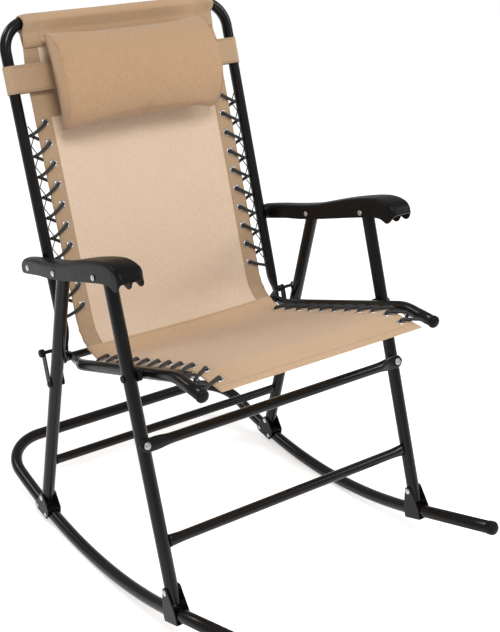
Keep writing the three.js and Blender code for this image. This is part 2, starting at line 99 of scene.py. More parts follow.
BASE = Matrix.Identity(4)
SADDLES = local(PINS["frame_fold"], SADDLE_TILT, SADDLE_H)
BRACKETS = local(PINS["rear_leg_pivot"], BRACKET_TILT, BRACKET_H)
FRONT = local(PINS["armrest_pivot"], -LEG_LEAN, ARM_PIN_H)
REAR = local(PINS["rear_leg_pivot"], REAR_LEAN)
LINKS = local(PINS["link_pivot"], -LINK_LEAN)
ARMS = local(PINS["armrest_pivot"], -ARM_SLOPE)
BACK = local(PINS["seat_hinge"], -LEG_LEAN)
SEAT = local(PINS["seat_hinge"], -SEAT_SLOPE)


# ---- materials ----
class Nodes:
    """A small builder for one procedural material."""

    def __init__(self, name, colour, roughness, metallic=0.0):
        self.material = bpy.data.materials.new(name)
        self.material.use_nodes = True
        self.tree = self.material.node_tree
        self.shader = self.tree.nodes["Principled BSDF"]
        self.uniform("Base Color", (*colour, 1))
        self.uniform("Roughness", roughness)
        self.uniform("Metallic", metallic)
        self.heights = []

    def uniform(self, socket, value):
        self.shader.inputs[socket].default_value = value

    def node(self, kind, **values):
        node = self.tree.nodes.new(kind)
        for key, value in values.items():
            if key in node.inputs:
                node.inputs[key].default_value = value
            else:
                setattr(node, key, value)
        return node

    def link(self, source, target):
        self.tree.links.new(source, target)

    def coordinates(self, kind, scale=(1, 1, 1), turn=(0, 0, 0)):
        source = self.node("ShaderNodeTexCoord")
        mapping = self.node("ShaderNodeMapping", Scale=scale, Rotation=turn)
        self.link(source.outputs[kind], mapping.inputs["Vector"])
        return mapping.outputs["Vector"]

    def axes(self, *mapping):
        split = self.node("ShaderNodeSeparateXYZ")
        self.link(self.coordinates(*mapping), split.inputs["Vector"])
        return split.outputs

    def noise(self, scale, detail=3.0, kind="Object", stretch=(1, 1, 1)):
        node = self.node("ShaderNodeTexNoise", Scale=scale, Detail=detail)
        self.link(self.coordinates(kind, stretch), node.inputs["Vector"])
        return node.outputs["Fac"]

    def math(self, operation, first, second=0):
        node = self.node("ShaderNodeMath", operation=operation)
        for slot, value in enumerate((first, second)):
            if isinstance(value, (int, float)):
                node.inputs[slot].default_value = value
            else:
                self.link(value, node.inputs[slot])
        return node.outputs["Value"]

    def ramp(self, factor, stops):
        node = self.node("ShaderNodeValToRGB")
        first, last = node.color_ramp.elements
        first.position, first.color = stops[0][0], (*stops[0][1], 1)
        last.position, last.color = stops[-1][0], (*stops[-1][1], 1)
        for position, colour in stops[1:-1]:
            node.color_ramp.elements.new(position).color = (*colour, 1)
        self.link(factor, node.inputs["Fac"])
        return node.outputs["Color"]

    def mix(self, factor, first, second, blend="MIX"):
        node = self.node("ShaderNodeMix", data_type="RGBA", blend_type=blend)
        for slot, value in ((0, factor), (6, first), (7, second)):
            if isinstance(value, (int, float)):
                node.inputs[slot].default_value = value
            elif isinstance(value, tuple):
                node.inputs[slot].default_value = (*value, 1)
            else:
                self.link(value, node.inputs[slot])
        return node.outputs[2]

    def colour(self, socket):
        self.link(socket, self.shader.inputs["Base Color"])

    def vary_roughness(self, factor, low, high):
        node = self.node("ShaderNodeMapRange")
        self.link(factor, node.inputs["Value"])
        node.inputs["To Min"].default_value = low
        node.inputs["To Max"].default_value = high
        self.link(node.outputs["Result"], self.shader.inputs["Roughness"])

    def bump(self, height, strength, distance):
        node = self.node("ShaderNodeBump", Strength=strength, Distance=distance)
        self.link(height, node.inputs["Height"])
        if self.heights:
            self.link(self.heights[-1], node.inputs["Normal"])
        self.heights.append(node.outputs["Normal"])
        self.link(node.outputs["Normal"], self.shader.inputs["Normal"])


def black_paint():
    m = Nodes("black_paint", (0.006, 0.005, 0.005), 0.3)
    m.uniform("Specular IOR Level", 0.24)
    m.colour(m.ramp(m.noise(9), [(0.35, (0.0035, 0.003, 0.003)), (0.7, (0.0075, 0.0062, 0.006))]))
    m.vary_roughness(m.noise(60), 0.17, 0.27)
    m.bump(m.noise(900, 2), 0.05, 0.0002)
    return m.material


def black_steel():
    m = Nodes("black_steel", (0.008, 0.008, 0.0085), 0.42)
    m.uniform("Specular IOR Level", 0.22)
    m.colour(m.ramp(m.noise(40), [(0.3, (0.004, 0.0038, 0.0038)), (0.75, (0.009, 0.0082, 0.008))]))
    m.vary_roughness(m.noise(180), 0.34, 0.52)
    m.bump(m.noise(900, 3), 0.06, 0.0002)
    return m.material


def moulded(name, dark, light, roughness):
    m = Nodes(name, dark, roughness)
    m.uniform("Specular IOR Level", 0.09)
    m.colour(m.ramp(m.noise(14), [(0.3, dark), (0.75, light)]))
    m.vary_roughness(m.noise(90), roughness - 0.06, roughness + 0.07)
    m.bump(m.noise(1500, 1.5), 0.07, 0.0002)
    return m.material


def bolt_steel():
    m = Nodes("bolt_steel", (0.55, 0.55, 0.56), 0.28, 1.0)
    m.colour(m.ramp(m.noise(70), [(0.3, (0.42, 0.42, 0.43)), (0.8, (0.66, 0.66, 0.67))]))
    m.vary_roughness(m.noise(500), 0.2, 0.38)
    m.bump(m.noise(1500, 2), 0.15, 0.0002)
    return m.material


def braid():
    m = Nodes("lace_braid", (0.007, 0.007, 0.0075), 0.5)
    m.uniform("Sheen Weight", 0.1)
    axes = m.axes("UV")
    around = m.math("MULTIPLY", axes["X"], 8 * pi)
    along = m.math("MULTIPLY", axes["Y"], 2 * pi / 0.0034)
    left = m.math("SINE", m.math("ADD", around, along))
    right = m.math("SINE", m.math("SUBTRACT", around, along))
    weave = m.math("MAXIMUM", left, right)
    m.colour(m.ramp(weave, [(0.0, (0.003, 0.003, 0.0035)), (1.0, (0.013, 0.013, 0.014))]))
    m.bump(weave, 0.5, 0.0004)
    return m.material


def woven(name, dark, light, thread, coordinate="UV", diagonal=0.0, roughness=0.88, share=0.3):
    """A plain weave: over and under threads, each a little different from the next."""
    m = Nodes(name, light, roughness)
    m.uniform("Sheen Weight", 0.22)
    m.uniform("Sheen Roughness", 0.5)
    m.uniform("Specular IOR Level", 0.25)
    axes = m.axes(coordinate, (1, 1, 1), (0, 0, radians(diagonal)))
    turns = pi / thread
    across = m.math("MULTIPLY", axes["X"], turns)
    if coordinate == "UV":
        down = m.math("MULTIPLY", axes["Y"], turns)
    else:
        down = m.math("MULTIPLY", m.math("ADD", axes["Z"], axes["Y"]), turns)
    warp = m.math("ABSOLUTE", m.math("SINE", across))
    weft = m.math("ABSOLUTE", m.math("SINE", down))
    over = m.math("MULTIPLY", m.math("SINE", across), m.math("SINE", down))
    pick = m.math("GREATER_THAN", over, 0)
    cloth = m.mix(pick, warp, weft)
    cells = m.noise(120, 2, coordinate, (1, 9, 1))
    slubs = m.noise(120, 2, coordinate, (9, 1, 1))
    patches = m.noise(7, 3, coordinate)
    value = m.math("MULTIPLY", m.math("ADD", cells, slubs), 0.5)
    shade = m.math("ADD", m.math("MULTIPLY", cloth, share), m.math("MULTIPLY", value, 1 - share))
    shade = m.math("ADD", shade, m.math("MULTIPLY", m.math("SUBTRACT", patches, 0.5), 0.1))
    m.colour(m.ramp(shade, [(0.2, dark), (0.75, light)]))
    m.bump(value, 0.25, 0.0006)
    m.bump(cloth, 0.5, thread * 0.35)
    return m.material


BLACK = black_paint()
STEEL = black_steel()
ARM = moulded("arm_plastic", (0.0045, 0.0042, 0.0042), (0.0085, 0.008, 0.008), 0.38)
PLASTIC = moulded("black_plastic", (0.006, 0.006, 0.0065), (0.013, 0.013, 0.0135), 0.38)
BOLT = bolt_steel()
LACE = braid()
TAN = woven("tan_canvas", (0.41, 0.26, 0.145), (0.68, 0.47, 0.295), 0.0011)
BAND = woven("band_canvas", (0.31, 0.195, 0.11), (0.52, 0.36, 0.225), 0.0011)
PILLOW_TAN = woven("pillow_canvas", (0.36, 0.215, 0.12), (0.52, 0.335, 0.195), 0.0011, "Object")
MESH = woven("sling_mesh", (0.46, 0.32, 0.21), (0.84, 0.66, 0.5), 0.003, "UV", 38, 0.8, 0.5)
SLEEVE = woven("sleeve_mesh", (0.34, 0.21, 0.115), (0.57, 0.38, 0.23), 0.0013)
THREAD = woven("sewing_thread", (0.3, 0.18, 0.09), (0.44, 0.28, 0.15), 0.0006)


# ---- mesh helpers ----
def place_in_scene(item):
    bpy.context.scene.collection.objects.link(item)
    return item


def shade_smooth(piece):
    piece.data.polygons.foreach_set("use_smooth", [True] * len(piece.data.polygons))


def build(name, vertices, faces, material, smooth=True, uv=None):
    mesh = bpy.data.meshes.new(name)
    mesh.from_pydata([tuple(v) for v in vertices], [], faces)
    if uv is not None:
        layer = mesh.uv_layers.new(name="UVMap")
        for loop in mesh.loops:
            layer.data[loop.index].uv = uv[loop.vertex_index]
    mesh.materials.append(material)
    mesh.polygons.foreach_set("use_smooth", [smooth] * len(mesh.polygons))
    piece = place_in_scene(bpy.data.objects.new(name, mesh))
    shell = bmesh.new()
    shell.from_mesh(mesh)
    bmesh.ops.recalc_face_normals(shell, faces=shell.faces)
    shell.to_mesh(mesh)
    shell.free()
    return piece


def settle(piece):
    """Applies the piece's modifiers to its mesh."""
    bpy.context.view_layer.update()
    graph = bpy.context.evaluated_depsgraph_get()
    mesh = bpy.data.meshes.new_from_object(piece.evaluated_get(graph))
    piece.modifiers.clear()
    piece.data = mesh
    return piece


def modified(piece, kind, **settings):
    modifier = piece.modifiers.new(kind, kind)
    for key, value in settings.items():
        setattr(modifier, key, value)
    return settle(piece)


def bevelled(piece, width=0.0005):
    return modified(piece, "BEVEL", width=width, segments=2, limit_method="ANGLE",
                    angle_limit=radians(35), harden_normals=True)


def joined(name, pieces):
    target = bmesh.new()
    for piece in pieces:
        target.from_mesh(piece.data)
    mesh = pieces[0].data
    target.to_mesh(mesh)
    target.free()
    for piece in pieces[1:]:
        bpy.data.objects.remove(piece)
    pieces[0].name = name
    return pieces[0]


def mirror(piece, name):
    """A copy of a piece on the sitter's right, at negative X."""
    copy = piece.copy()
    copy.data = piece.data.copy()
    copy.name = name
    copy.data.transform(Matrix.Scale(-1, 4, (1, 0, 0)))
    copy.data.flip_normals()
    return place_in_scene(copy)


def stand(piece, body, slot, place, *nodes):
    """Puts a piece in the body's frame and lets it stand for CAD nodes."""
    piece.data.transform(place)
    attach(piece, body)
    if nodes:
        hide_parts(*nodes)
    return piece


def stand_pair(name, piece, body, slot, place, *nodes):
    """The piece and its mirror image; each node name lacks its _left or _right."""
    piece.name = name + "_l"
    other = mirror(piece, name + "_r")
    stand(piece, body, slot, place, *[node + "_left" for node in nodes])
    stand(other, body, slot, place, *[node + "_right" for node in nodes])
    return piece, other


def loft_faces(rings, sides):
    """Closed rings joined one to the next, with a flat face at each end."""
    faces = []
    for ring in range(rings - 1):
        for k in range(sides):
            a = ring * sides + k
            b = ring * sides + (k + 1) % sides
            faces.append((a, b, b + sides, a + sides))
    faces.append(tuple(range(sides))[::-1])
    faces.append(tuple((rings - 1) * sides + k for k in range(sides)))
    return faces


def sweep(name, path, sections, material, sides=28, side=ACROSS, cap=0.0):
    """A round or oval bar along a path; each section is its half widths along side and up."""
    path = [Vector(p) for p in path]
    if not isinstance(sections, list):
        sections = [(sections, sections)] * len(path)
    last = len(path) - 1
    vertices, uv = [], []
    across = side
    travelled = 0.0
    for index, point in enumerate(path):
        ahead = path[min(index + 1, last)] - path[max(index - 1, 0)]
        ahead.normalize()
        across = (across - ahead * across.dot(ahead)).normalized()
        up = ahead.cross(across)
        if index:
            travelled += (point - path[index - 1]).length
        wide, high = sections[index]
        for k in range(sides):
            angle = 2 * pi * k / sides
            vertices.append(point + across * wide * cos(angle) + up * high * sin(angle))
            uv.append((k / sides, travelled))
    piece = build(name, vertices, loft_faces(len(path), sides), material, uv=uv)
    if cap:
        bevelled(piece, cap)
    return piece


def plate(name, outline, x0, x1, material, bevel=0.0005):
    """A side outline of (y, z) points, extruded across the chair."""
    count = len(outline)
    vertices = [(x, y, z) for x in (x0, x1) for y, z in outline]
    faces = [tuple(range(count))[::-1], tuple(range(count, 2 * count))]
    for k in range(count):
        after = (k + 1) % count
        faces.append((k, after, after + count, k + count))
    piece = build(name, vertices, faces, material)
    if bevel:
        bevelled(piece, bevel)
    return piece


def turned(name, profile, material, y=0.0, z=0.0, sides=32, bevel=0.0004):
    """A turned piece: (radius, x) points along an axis across the chair."""
    vertices = []
    for radius, x in profile:
        for k in range(sides):
            angle = 2 * pi * k / sides
            vertices.append((x, y + radius * cos(angle), z + radius * sin(angle)))
    piece = build(name, vertices, loft_faces(len(profile), sides), material)
    if bevel:
        bevelled(piece, bevel)
    return piece


def dome(radius, x, height, step=15):
    """A turned piece's rounded end, from its rim at x to near its axis."""
    turns = [radians(angle) for angle in range(0, 90, step)]
    return [(radius * cos(turn), x + height * sin(turn)) for turn in turns]


def head(x, radius, height, outward=1):
    """The profile of a domed bolt head that stands on x, widest first."""
    rim = 0.35 * height
    return [(radius, x)] + dome(radius, x + outward * rim, outward * (height - rim), 20)


def stud(name, inner, outer, shank, radius, height, material, y=0.0, z=0.0):
    """A pin with a domed head at each end, between the planes inner and outer."""
    low = head(inner, radius, height, -1)[::-1]
    high = head(outer, radius, height)
    return turned(name, low + [(shank, inner), (shank, outer)] + high, material, y, z)


def arc(cy, cz, radius, start, end, steps):
    points = []
    for k in range(steps + 1):
        angle = radians(start + (end - start) * k / steps)
        points.append((cy + radius * cos(angle), cz + radius * sin(angle)))
    return points


def both_sides(points):
    return points + [(-x, y, z) for x, y, z in reversed(points)]


def smooth_route(points, steps=5):
    """A Catmull-Rom curve through the points."""
    points = [Vector(p) for p in points]
    ends = [2 * points[0] - points[1], *points, 2 * points[-1] - points[-2]]
    route = []
    for k in range(1, len(ends) - 2):
        a, b, c, d = ends[k - 1:k + 3]
        for step in range(steps):
            t = step / steps
            route.append(0.5 * (2 * b + (c - a) * t + (2 * a - 5 * b + 4 * c - d) * t * t
                                + (3 * b - a - 3 * c + d) * t ** 3))
    return route + [points[-1]]


# ---- camera, light and floor ----
def build_stage():
    camera = bpy.data.cameras.new("camera")
    camera.sensor_fit = "VERTICAL"
    camera.sensor_height = 36
    camera.lens = 68.16
    holder = place_in_scene(bpy.data.objects.new("camera", camera))
    hub = PINS["armrest_pivot"]
    holder.location = (-1.202, hub.y - 0.14874 - 1.534, hub.z - 0.46299 + 1.208)
    aim = Vector((0.5353, 0.7452, -0.3976))
    holder.rotation_euler = aim.to_track_quat("-Z", "Y").to_euler()
    bpy.context.scene.camera = holder

    floor = build("floor", [(-9, -9, 0), (9, -9, 0), (9, 9, 0), (-9, 9, 0)], [(0, 1, 2, 3)],
                  floor_paint(), smooth=False)
    world = bpy.data.worlds.new("studio")
    bpy.context.scene.world = world
    world.use_nodes = True
    sky = world.node_tree.nodes["Background"].inputs
    sky["Color"].default_value = (1, 1, 1, 1)
    sky["Strength"].default_value = 0.52
    bpy.context.scene.view_settings.view_transform = "Standard"
    for name, place, size, power in (
        ("key", (-0.7, -2.3, 3.6), 1.1, 72),
        ("fill", (2.6, -1.6, 2.4), 0.9, 26),
        ("rim", (-1.6, 2.2, 3.0), 0.9, 22),
    ):
        light = bpy.data.lights.new(name, "AREA")
        light.size = size
        light.energy = power
        lamp = place_in_scene(bpy.data.objects.new(name, light))
        lamp.location = place
        lamp.rotation_euler = (Vector((0, 0, 0.45)) - Vector(place)).to_track_quat("-Z", "Y").to_euler()


def floor_paint():
    m = Nodes("floor", (0.9, 0.9, 0.9), 0.9)
    m.colour(m.ramp(m.noise(2), [(0.3, (0.9, 0.9, 0.9)), (0.7, (0.93, 0.93, 0.93))]))
    m.uniform("Emission Color", (1, 1, 1, 1))
    m.uniform("Emission Strength", 0.5)
    return m.material


# ---- rocker base ----
def rocker_side():
    centre = PINS["saddle_travel"]
    first, last = radians(ROCKER_START), radians(ROCKER_END)
    steps = 48
    points = []
    for k in range(steps + 1):
        angle = radians(ROCKER_START + (ROCKER_END - ROCKER_START) * k / steps)
        y = centre.y + ROCKER_ARC * sin(angle)
        points.append((SIDE_X, y, centre.z - ROCKER_ARC * cos(angle)))
    _, y, z = points[0]
    front = (SIDE_X, y - ROCKER_FRONT * cos(first), z - ROCKER_FRONT * sin(first))
    _, y, z = points[-1]
    for turn in range(0, 91, 6):
        reach = 0.001 + ROCKER_CORNER * sin(radians(turn))
        x = SIDE_X - ROCKER_CORNER * (1 - cos(radians(turn)))
        points.append((x, y + reach * cos(last), z + reach * sin(last)))
    return [front] + points


def build_base():
    side = rocker_side()
    tube = sweep("rocker_tube", both_sides(side), 0.0124, BLACK, 32)
    stand(tube, "base", "black_tube", BASE, "rocker_base")
    tip = local(Vector((0, *side[0][1:])), ROCKER_START)
    rounding = dome(0.0136, -0.0095, -0.007)
    profile = [(0.0126, 0.0005), (0.0136, -0.0008)] + rounding + [(0.001, -0.0165)]
    cap = turned("rocker_cap", profile, PLASTIC)
    cap.data.transform(Matrix.Translation((SIDE_X, 0, 0)) @ QUARTER)
    stand_pair("rocker_end_cap", cap, "base", "black_plastic", tip, "rocker_cap")


def clamp(name, outline, strap):
    """Two ears beside the tube, joined by a strap across it."""
    ears = [plate(name, outline, SIDE_X + x0, SIDE_X + x1, STEEL, 0.0006)
            for x0, x1 in ((-0.0154, -0.0132), (0.0132, 0.0154))]
    return joined(name, ears + [plate(name, strap, SIDE_X - 0.0136, SIDE_X + 0.0136, STEEL)])


def rectangle(y0, z0, y1, z1):
    return [(y0, z0), (y1, z0), (y1, z1), (y0, z1)]


def clamp_pin(height):
    return stud("pin", SIDE_X - 0.0157, SIDE_X + 0.0157, 0.003, 0.006, 0.0025, BOLT, 0, height)


def build_clamps():
    ear = arc(0, SADDLE_H, 0.009, 10, 170, 14)
    outline = [(-0.022, -0.0146), (0.022, -0.0146), (0.022, 0.006), *ear, (-0.022, 0.006)]
    saddle = clamp("saddle", outline, rectangle(-0.022, -0.0146, 0.022, -0.013))
    stand_pair("saddle", saddle, "saddles", "black_steel", SADDLES, "front_saddle")
    stand_pair("saddle_pin", clamp_pin(SADDLE_H), "saddles", "bolt_steel", SADDLES, "saddle_rivet")

    outline = [*arc(-0.018, 0, 0.01, 180, 270, 6), *arc(0.018, 0, 0.01, -90, 0, 6),
               *arc(0, BRACKET_H, 0.01, 20, 150, 12), (-0.028, 0.0156)]
    strap = rectangle(-0.028, 0.0132, -0.014, 0.0156)
    bracket = clamp("bracket", outline, strap)
    stand_pair("rear_clamp", bracket, "base", "black_steel", BRACKETS, "rear_bracket")
    stand_pair("rear_leg_pin", clamp_pin(BRACKET_H), "base", "bolt_steel", BRACKETS, "rear_leg_rivet")
    for place, y in (("front", -0.018), ("rear", 0.018)):
        low = stud("low", SIDE_X - 0.0155, SIDE_X + 0.0155, 0.003, 0.0045, 0.002, BOLT, y, 0.0)
        stand_pair("clamp_rivet_" + place, low, "base", "bolt_steel", BRACKETS)


# ---- legs ----
def crimped_bar(name, reach, radius, y, z):
    """A cross tube whose ends narrow a little where they are pressed to the legs."""
    path = both_sides([(reach - d, y, z) for d in (0, 0.004, 0.012, 0.022, 0.034)])
    squeeze = [0.8, 0.82, 0.88, 0.96, 1.0]
    sections = [(radius * (2 - f) * 0.99, radius * f) for f in squeeze + squeeze[::-1]]
    return sweep(name, path, sections, BLACK, 28, UP)


def leg_tube(name, low, high):
    path = [(SIDE_X, 0, low + (high - low) * k / 12) for k in range(13)]
    return sweep(name, path, LEG_R * 0.995, BLACK, 32, cap=0.0008)


def build_front_legs():
    leg = leg_tube("leg", SADDLE_PIN_H - 0.0245, ARM_PIN_H + 0.013)
    stand_pair("front_leg_tube", leg, "front_legs", "black_tube", FRONT, "front_leg")
    bar = crimped_bar("lower_bar", BAR_END, 0.0099, 0, 0)
    stand(bar, "front_legs", "black_tube", FRONT, "front_lower_bar")
    stand(brace_bar(), "front_legs", "black_tube", FRONT, "front_upper_brace")

    profile = [(0.0035, 0.009), (0.0035, -0.0164), (0.0068, -0.0164), (0.0068, -0.0184),
               (0.0055, -0.0196), (0.0022, -0.0199), (0.0018, -0.0186), (0.0002, -0.0185)]
    bolt = turned("bolt", profile, BOLT, bevel=0.0003)
    bolt.data.transform(Matrix.Translation((SIDE_X, 0, BRACE_H)) @ QUARTER)
    stand_pair("brace_screw", bolt, "front_legs", "bolt_steel", FRONT, "brace_bolt")

    pivot = stud("pivot", 0.2455, 0.3032, 0.003, 0.0048, 0.0011, STEEL, 0, SEAT_PIN_H)
    stand_pair("seat_pivot", pivot, "front_legs", "black_steel", FRONT, "seat_pivot_bolt")
    knob = turned("knob", head(0.3032, 0.0068, 0.003), STEEL, 0, SEAT_PIN_H)
    stand_pair("seat_pivot_head", knob, "front_legs", "black_steel", FRONT)
    ring = [(0.004, 0.2684), (0.0105, 0.2684), (0.0112, 0.2705), (0.0095, 0.2728),
            (0.0112, 0.275), (0.0105, 0.2771), (0.004, 0.2771)]
    spacer = turned("spacer", ring, PLASTIC, 0, SEAT_PIN_H)
    stand_pair("pivot_spacer", spacer, "front_legs", "black_plastic", FRONT, "seat_spacer")


def brace_bar():
    """The upper brace: its ends flow from the round tube into flat, round paddles."""
    stations = [(0.303, 0.0016, 0.0006), (0.302, 0.0015, 0.0048), (0.299, 0.0015, 0.0094),
                (0.295, 0.0015, 0.0119), (0.29, 0.0015, 0.0129), (0.28, 0.0015, 0.0129),
                (0.27, 0.0022, 0.0128), (0.261, 0.0045, 0.0122), (0.253, 0.0078, 0.011),
                (0.244, 0.0097, 0.0101), (0.23, 0.0099, 0.0099)]
    halves = [(s[2], s[1]) for s in stations]
    path = both_sides([(s[0], -0.0145, BRACE_H) for s in stations])
    return sweep("upper_brace", path, halves + halves[::-1], BLACK, 32, UP)


def build_rear_legs():
    leg = leg_tube("leg", -0.009, REAR_LENGTH + 0.006)
    stand_pair("rear_leg_tube", leg, "rear_legs", "black_tube", REAR, "rear_leg")
    bar = crimped_bar("rear_bar", BAR_END, 0.0094, 0, REAR_BAR_H)
    stand(bar, "rear_legs", "black_tube", REAR, "rear_crossbar")


def build_links():
    outline = [*arc(0, 0, 0.008, 180, 360, 12), *arc(0, LINK_LENGTH, 0.008, 0, 180, 12)]
    plates = [plate("p", outline, x0, x1, STEEL, 0.0006)
              for x0, x1 in ((0.2744, 0.2769), (0.3031, 0.3056))]
    low = stud("low", 0.275, 0.3056, 0.0032, 0.0055, 0.0024, STEEL)
    high = stud("high", 0.275, 0.3056, 0.0036, 0.0055, 0.002, STEEL, 0, LINK_LENGTH)
    knob = turned("knob", [(0.0062, 0.3056), (0.0078, 0.3064), (0.008, 0.3085), (0.0078, 0.311),
                           (0.006, 0.3126), (0.0008, 0.313)], PLASTIC, 0, LINK_LENGTH)
    link = joined("link", plates + [low, high])
    stand_pair("yoke", link, "links", "black_steel", LINKS, "yoke_link")
    stand_pair("yoke_knob", knob, "links", "black_plastic", LINKS)


# ---- armrests ----
ARM_TOP = [(-97, -8), (-95, 3), (-90, 11), (-82, 17.5), (-72, 22), (-60, 25.5), (-45, 28), (-20, 29),
           (10, 28.4), (45, 26.5), (80, 23.2), (110, 20), (140, 17), (170, 15.6), (205, 15.4),
           (240, 16.2), (270, 17.4), (300, 18), (325, 17.6), (338, 16), (347, 12), (350, 7)]
ARM_LOW = [(-97, -6), (-94, -8.5), (-90, -10.5), (-87, -14.5), (-83, -19), (-78, -21.4), (-73, -21),
           (-67, -17.5), (-60, -13), (-50, -10.5), (-36, -9.5), (-20, -9), (45, -10.5), (120, -13),
           (200, -13.8), (250, -11.5), (330, -12), (346, -11), (350, -8)]
ARM_OUT = [(-97, 316), (-92, 320.5), (-86, 322.3), (-70, 322.4), (0, 320), (90, 316.5), (180, 312.3),
           (250, 306), (314, 299.5), (350, 296.5)]


def along(table, y):
    ys, values = zip(*table)
    around = np.interp([y - 1.2, y, y + 1.2], ys, values)
    return float(around.mean()) / 1000


def arm_loft(name, inset, low_reach):
    """The armrest's outer skin, or with an inset the hollow that opens downwards."""
    first, last = -97 + inset * 1.6, 350 - inset * 1.2
    count = 130
    vertices = []
    for k in range(count + 1):
        y = first + (last - first) * (0.5 - 0.5 * cos(pi * k / count))
        top = along(ARM_TOP, y) - inset / 1000
        low = along(ARM_LOW, y) if low_reach is None else low_reach
        nose = max(0.0, 1 - (y - first) / 14) ** 2.2 * 0.01
        x0 = 0.271 + inset / 1000 + nose
        x1 = along(ARM_OUT, y) - inset / 1000
        radius = min(0.0075 - inset / 2000, (top - low) * 0.45)
        loop = [(x0, low), (x0 + 0.0001, low + (top - low) * 0.5)]
        loop += arc(x0 + radius, top - radius, radius, 180, 90, 6)
        loop.append(((x0 + x1) / 2, top + 0.0012))
        loop += arc(x1 - radius, top - radius, radius, 90, 0, 6)
        loop += [(x1 - 0.0001, low + (top - low) * 0.5), (x1, low)]
        vertices += [(x, y / 1000, z) for x, z in loop]
    return build(name, vertices, loft_faces(count + 1, len(vertices) // (count + 1)), ARM)


def build_armrests():
    skin = arm_loft("armrest", 0, None)
    hollow = arm_loft("hollow", 2.6, -0.06)
    modified(skin, "BOOLEAN", operation="DIFFERENCE", object=hollow, solver="EXACT")
    bpy.data.objects.remove(hollow)
    bevelled(skin, 0.0007)
    shade_smooth(skin)
    stand_pair("arm_channel", skin, "armrests", "arm_plastic", ARMS, "armrest")
    low = [(y / 1000, along(ARM_LOW, y)) for y in np.linspace(-90, -56, 18)]
    rib = plate("rib", low + [(-0.056, 0.018), (-0.08, 0.01), (-0.09, -0.002)], 0.2945, 0.2975, ARM)
    stand_pair("arm_finger_rib", rib, "armrests", "arm_plastic", ARMS)
    front = stud("front", 0.2707, 0.3207, 0.003, 0.0055, 0.0024, BOLT)
    stand_pair("arm_front_bolt", front, "armrests", "bolt_steel", ARMS, "armrest_front_screw")
    middle = turned("middle", [(0.003, 0.304), (0.003, 0.3128)] + head(0.3128, 0.0055, 0.0022), BOLT,
                    0.1759, -0.0023)
    stand_pair("arm_middle_bolt", middle, "armrests", "bolt_steel", ARMS, "armrest_mid_screw")
    collar = [(0.003, 0.243), (0.003, 0.2644), (0.0075, 0.2644), (0.008, 0.265), (0.008, 0.27),
              (0.0075, 0.2706), (0.003, 0.2706), (0.003, 0.299)]
    rear = turned("rear", collar, STEEL, ARM_LENGTH, 0)
    stand_pair("arm_rear_bolt", rear, "armrests", "black_steel", ARMS, "back_pivot_bolt")
    cap = turned("cap", [(0.002, 0.2985)] + head(0.2998, 0.006, 0.0024), BOLT, ARM_LENGTH, 0)
    stand_pair("arm_rear_head", cap, "armrests", "bolt_steel", ARMS)
    inner = turned("inner", [(0.002, 0.2725)] + head(0.2709, 0.0055, 0.0022, -1), BOLT, 0.1759, -0.0023)
    stand_pair("arm_middle_head", inner, "armrests", "bolt_steel", ARMS)


# ---- back and seat tubes ----
def build_back_frame():
    rim = [(BACK_X - BACK_CORNER + x, 0, BACK_TOP - BACK_CORNER + z)
           for x, z in arc(0, 0, BACK_CORNER, 0, 90, 18)]
    straight = [(BACK_X, 0, z) for z in (0.062, 0.12, 0.2, 0.3, 0.4, 0.5)]
    press = [(0.003, -0.0085), (0.003, -0.006), (0.003, 0), (0.003, 0.012), (0.0026, 0.022),
             (0.0012, 0.034), (0, 0.048)]
    halves = [(0.0018, 0.004), (0.0018, 0.0075), (0.0018, 0.0098), (0.0019, 0.0105), (0.0045, 0.0112),
              (0.0085, 0.0112), (0.0107, 0.011)]
    side = [(BACK_X + x, 0, z) for x, z in press] + straight + rim
    sections = halves + [FRAME_ROUND] * (len(straight) + len(rim))
    tube = sweep("back_tube", both_sides(side), sections + sections[::-1], BLACK, 32)
    stand(tube, "back", "black_tube", BACK, "back_frame")
    bar = sweep("cross", [(x, 0.019, -0.008) for x in (-0.262, -0.2, 0, 0.2, 0.262)], 0.0079, BLACK,
                28, UP, 0.0012)
    stand(bar, "back", "black_tube", BACK, "back_cross_tube")
    lobe = [*arc(0.019, -0.008, 0.0108, -130, 60, 14), (0.009, 0.012), (-0.003, 0.01), (-0.003, -0.008)]
    lug = plate("lug", lobe, 0.2541, 0.2578, STEEL)
    stand_pair("cross_tube_lug", lug, "back", "black_steel", BACK)
    post = turned("post", [(0.0068, 0.2582), (0.0068, 0.27), (0.006, 0.2718), (0.001, 0.272)],
                  STEEL, 0, 0.0157)
    stand_pair("link_post", post, "back", "black_steel", BACK, "link_stud")


def seat_point(distance, lift=0.0):
    """A point on the seat's side line at a distance from the hinge's foot, raised by lift."""
    half = SEAT_BEND_R * tan(radians(SEAT_BEND_A / 2))
    start = -SEAT_BEND - half
    full = radians(SEAT_BEND_A)
    turn = min(max(distance - start, 0) / SEAT_BEND_R, full)
    rest = max(distance - start - SEAT_BEND_R * full, 0)
    flat = min(distance, start)
    y = -flat - SEAT_BEND_R * sin(turn) - rest * cos(turn)
    z = SEAT_DROP - SEAT_BEND_R * (1 - cos(turn)) - rest * sin(turn)
    return y - lift * sin(turn), z + lift * cos(turn), turn


